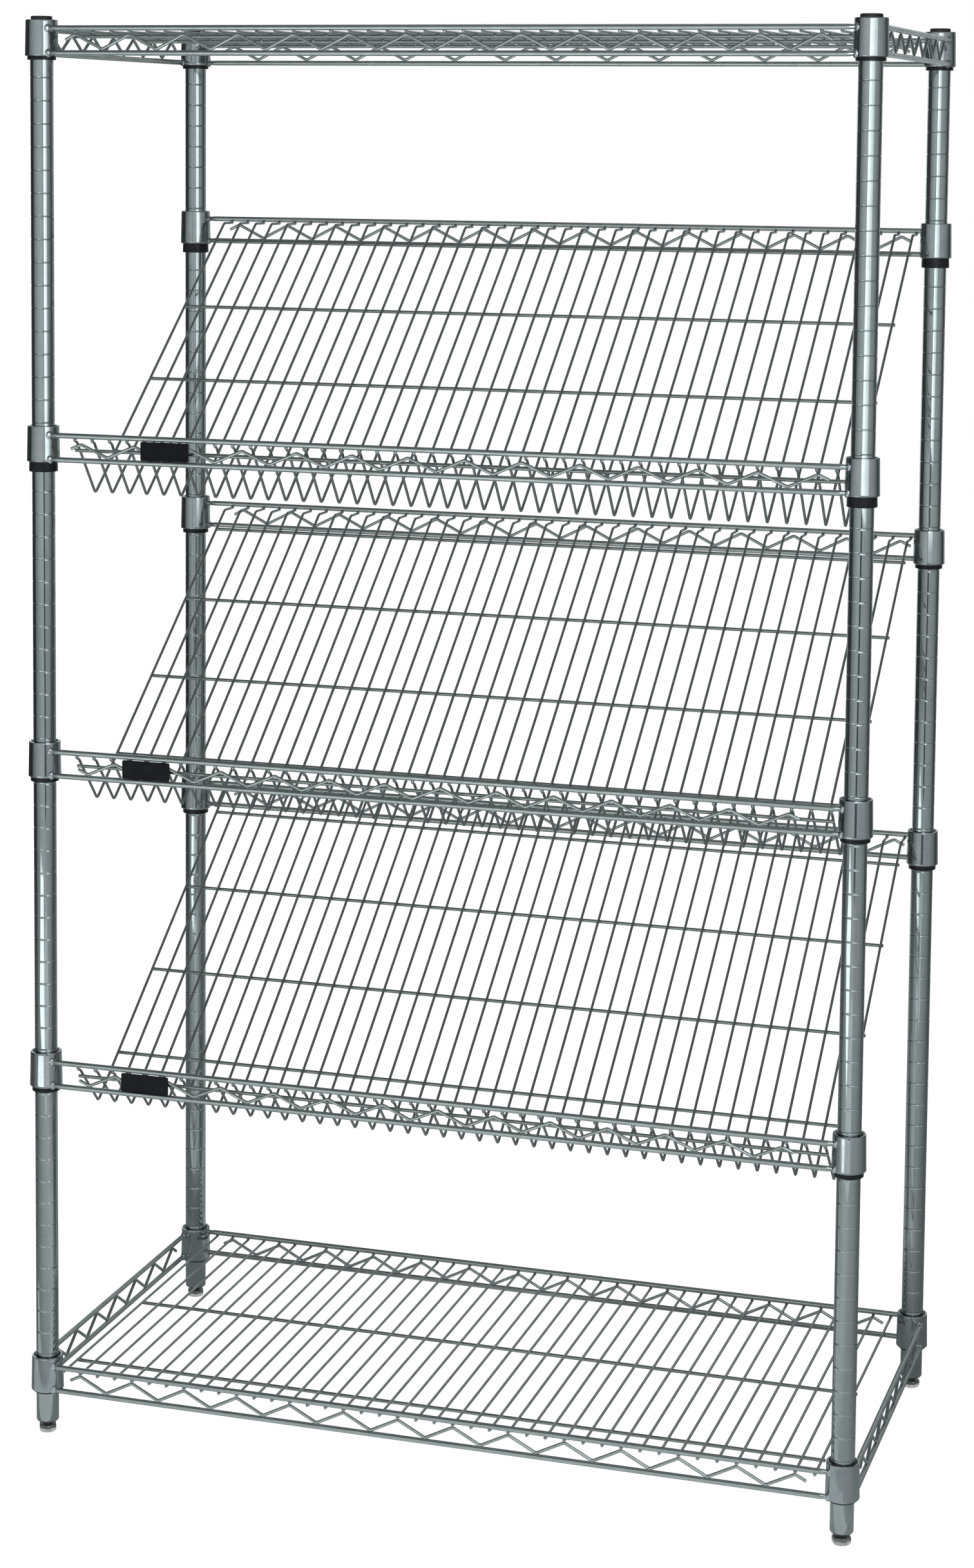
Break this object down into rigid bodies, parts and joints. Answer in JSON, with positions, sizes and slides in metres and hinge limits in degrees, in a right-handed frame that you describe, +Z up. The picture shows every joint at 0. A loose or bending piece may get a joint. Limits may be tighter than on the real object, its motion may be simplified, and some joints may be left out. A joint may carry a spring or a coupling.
{
  "type": "slanted wire shelving unit",
  "caption": "Free-standing chrome wire shelving on grooved posts, with flat shelves at top and bottom and slanted display shelves between.",
  "frame": {"origin": "on the floor, midway between the four posts", "axes": "+Z up, +X across the width to the right seen from the front, the front faces -Y"},
  "size_m": [0.958, 0.478, 1.608],
  "materials": {
    "post_chrome": "polished chrome",
    "collar_chrome": "polished chrome",
    "rail_chrome": "bright chrome wire",
    "deck_chrome": "chrome wire, darker",
    "sleeve_plastic": "moulded",
    "cap_plastic": "moulded",
    "label_plastic": "smooth, bare",
    "insert_plastic": "moulded",
    "foot_steel": "zinc plated"
  },
  "bodies": {
    "posts": {"post_front_left": "post_chrome", "post_front_right": "post_chrome", "post_rear_left": "post_chrome", "post_rear_right": "post_chrome", "post_caps": "cap_plastic", "foot_inserts": "insert_plastic", "top_shelf_sleeves": "sleeve_plastic", "bottom_shelf_sleeves": "sleeve_plastic", "upper_shelf_sleeves": "sleeve_plastic", "middle_shelf_sleeves": "sleeve_plastic", "lower_shelf_sleeves": "sleeve_plastic"},
    "top_shelf": {"top_shelf_collars": "collar_chrome", "top_shelf_long_rails": "rail_chrome", "top_shelf_side_rails": "rail_chrome", "top_shelf_long_zigzags": "rail_chrome", "top_shelf_side_zigzags": "rail_chrome", "top_shelf_deck_wires": "deck_chrome", "top_shelf_cross_rods": "deck_chrome"},
    "bottom_shelf": {"bottom_shelf_collars": "collar_chrome", "bottom_shelf_long_rails": "rail_chrome", "bottom_shelf_side_rails": "rail_chrome", "bottom_shelf_long_zigzags": "rail_chrome", "bottom_shelf_side_zigzags": "rail_chrome", "bottom_shelf_deck_wires": "deck_chrome", "bottom_shelf_cross_rods": "deck_chrome"},
    "upper_shelf": {"upper_shelf_collars": "collar_chrome", "upper_shelf_front_rails": "rail_chrome", "upper_shelf_rear_rails": "rail_chrome", "upper_shelf_front_zigzag": "rail_chrome", "upper_shelf_rear_zigzag": "rail_chrome", "upper_shelf_deck_wires": "deck_chrome", "upper_shelf_cross_rods": "deck_chrome", "upper_shelf_label": "label_plastic"},
    "middle_shelf": {"middle_shelf_collars": "collar_chrome", "middle_shelf_front_rails": "rail_chrome", "middle_shelf_rear_rails": "rail_chrome", "middle_shelf_front_zigzag": "rail_chrome", "middle_shelf_rear_zigzag": "rail_chrome", "middle_shelf_deck_wires": "deck_chrome", "middle_shelf_cross_rods": "deck_chrome", "middle_shelf_label": "label_plastic"},
    "lower_shelf": {"lower_shelf_collars": "collar_chrome", "lower_shelf_front_rails": "rail_chrome", "lower_shelf_rear_rails": "rail_chrome", "lower_shelf_front_zigzag": "rail_chrome", "lower_shelf_rear_zigzag": "rail_chrome", "lower_shelf_deck_wires": "deck_chrome", "lower_shelf_cross_rods": "deck_chrome", "lower_shelf_label": "label_plastic"},
    "foot_front_left": {"foot_front_left": "foot_steel"},
    "foot_front_right": {"foot_front_right": "foot_steel"},
    "foot_rear_left": {"foot_rear_left": "foot_steel"},
    "foot_rear_right": {"foot_rear_right": "foot_steel"}
  },
  "joints": [
    {"name": "top_shelf_lift", "type": "slide", "parent": "posts", "child": "top_shelf", "axis": [0, 0, 1], "range_m": [0, 0.0508]},
    {"name": "upper_shelf_lift", "type": "slide", "parent": "posts", "child": "upper_shelf", "axis": [0, 0, 1], "range_m": [0, 0.0508]},
    {"name": "middle_shelf_lift", "type": "slide", "parent": "posts", "child": "middle_shelf", "axis": [0, 0, 1], "range_m": [0, 0.0508]},
    {"name": "lower_shelf_lift", "type": "slide", "parent": "posts", "child": "lower_shelf", "axis": [0, 0, 1], "range_m": [0, 0.0508]},
    {"name": "bottom_shelf_lift", "type": "slide", "parent": "posts", "child": "bottom_shelf", "axis": [0, 0, 1], "range_m": [0, 0.0508]},
    {"name": "foot_front_left_level", "type": "slide", "parent": "posts", "child": "foot_front_left", "axis": [0, 0, -1], "range_m": [-0.004, 0.02]},
    {"name": "foot_front_right_level", "type": "slide", "parent": "posts", "child": "foot_front_right", "axis": [0, 0, -1], "range_m": [-0.004, 0.02]},
    {"name": "foot_rear_left_level", "type": "slide", "parent": "posts", "child": "foot_rear_left", "axis": [0, 0, -1], "range_m": [-0.004, 0.02]},
    {"name": "foot_rear_right_level", "type": "slide", "parent": "posts", "child": "foot_rear_right", "axis": [0, 0, -1], "range_m": [-0.004, 0.02]}
  ]
}
